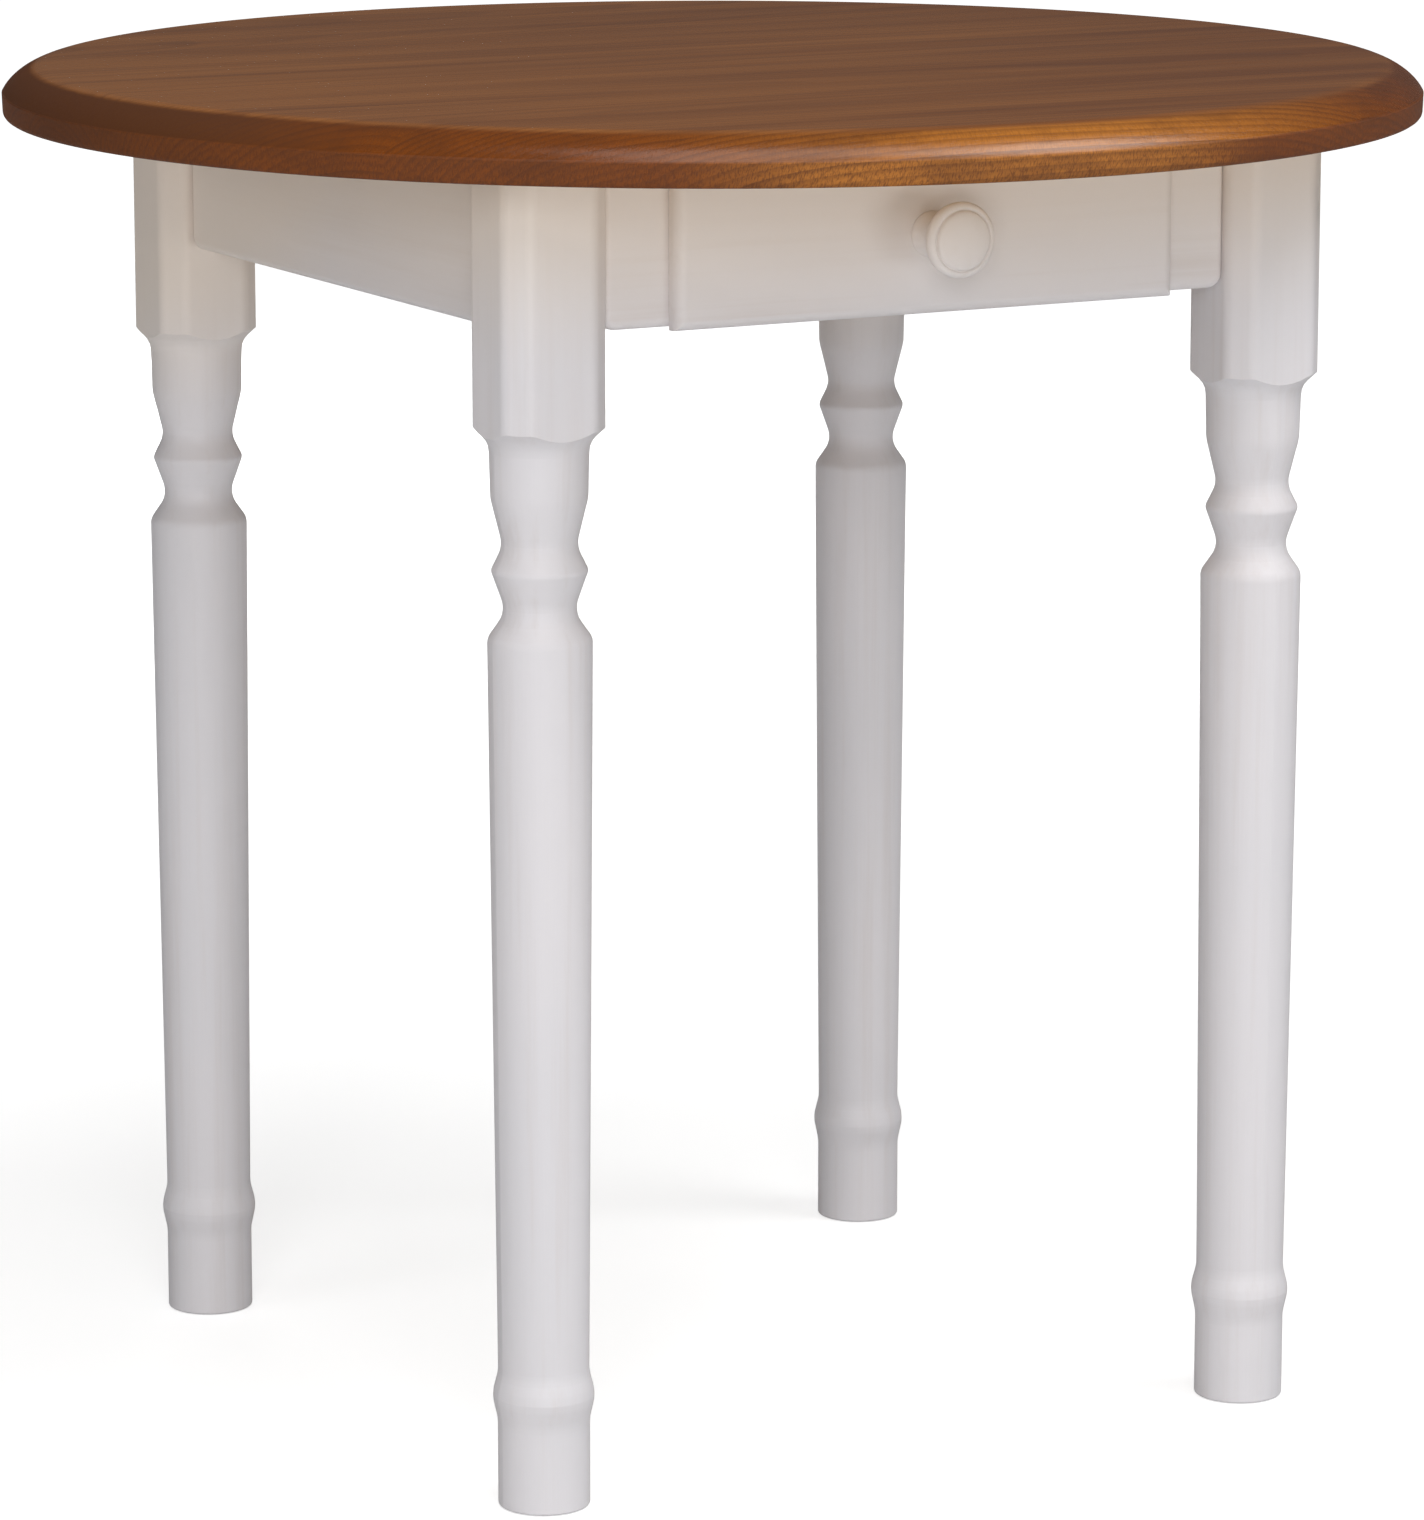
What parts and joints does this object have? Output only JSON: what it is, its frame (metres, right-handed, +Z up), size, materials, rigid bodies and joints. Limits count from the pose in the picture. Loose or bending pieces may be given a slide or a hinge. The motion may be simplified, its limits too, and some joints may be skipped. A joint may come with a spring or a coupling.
{
  "type": "round dining table",
  "caption": "Round dining table with a stained wooden top, white turned legs, white rails and a shallow drawer with a turned knob.",
  "frame": {"origin": "on the floor, below the middle of the round top", "axes": "+Z up, -Y towards the person who opens the drawer, +X to that person's right"},
  "size_m": [0.7999, 0.8, 0.755],
  "materials": {
    "stained_top": "brown stain, satin lacquer",
    "white_paint": "white satin paint",
    "bare_pine": "bare planed pine",
    "hardboard": "smooth pressed board",
    "zinc_steel": "zinc plated"
  },
  "bodies": {
    "table": {"table_top": "stained_top", "leg_back_right": "white_paint", "leg_back_left": "white_paint", "leg_front_left": "white_paint", "leg_front_right": "white_paint", "apron_front": "white_paint", "apron_right": "white_paint", "apron_back": "white_paint", "apron_left": "white_paint", "corner_brace_back_right": "bare_pine", "corner_brace_back_left": "bare_pine", "corner_brace_front_left": "bare_pine", "corner_brace_front_right": "bare_pine", "drawer_runner_left": "bare_pine", "drawer_runner_right": "bare_pine", "drawer_guide_left": "bare_pine", "drawer_guide_right": "bare_pine", "drawer_stop": "bare_pine", "runner_dowels": "bare_pine", "leg_bolts": "zinc_steel", "leg_bolt_washers": "zinc_steel", "leg_bolt_nuts": "zinc_steel", "brace_screws": "zinc_steel", "top_brackets": "zinc_steel", "top_bracket_screws": "zinc_steel", "drawer_stop_screws": "zinc_steel"},
    "drawer": {"drawer_front": "white_paint", "drawer_side_left": "bare_pine", "drawer_side_right": "bare_pine", "drawer_back": "bare_pine", "drawer_bottom": "hardboard", "drawer_knob": "white_paint", "drawer_knob_screw": "zinc_steel", "drawer_dowels": "bare_pine", "drawer_back_screws": "zinc_steel"}
  },
  "joints": [
    {"name": "drawer_slide", "type": "slide", "parent": "table", "child": "drawer", "axis": [0, -1, 0], "range_m": [0, 0.3]}
  ]
}
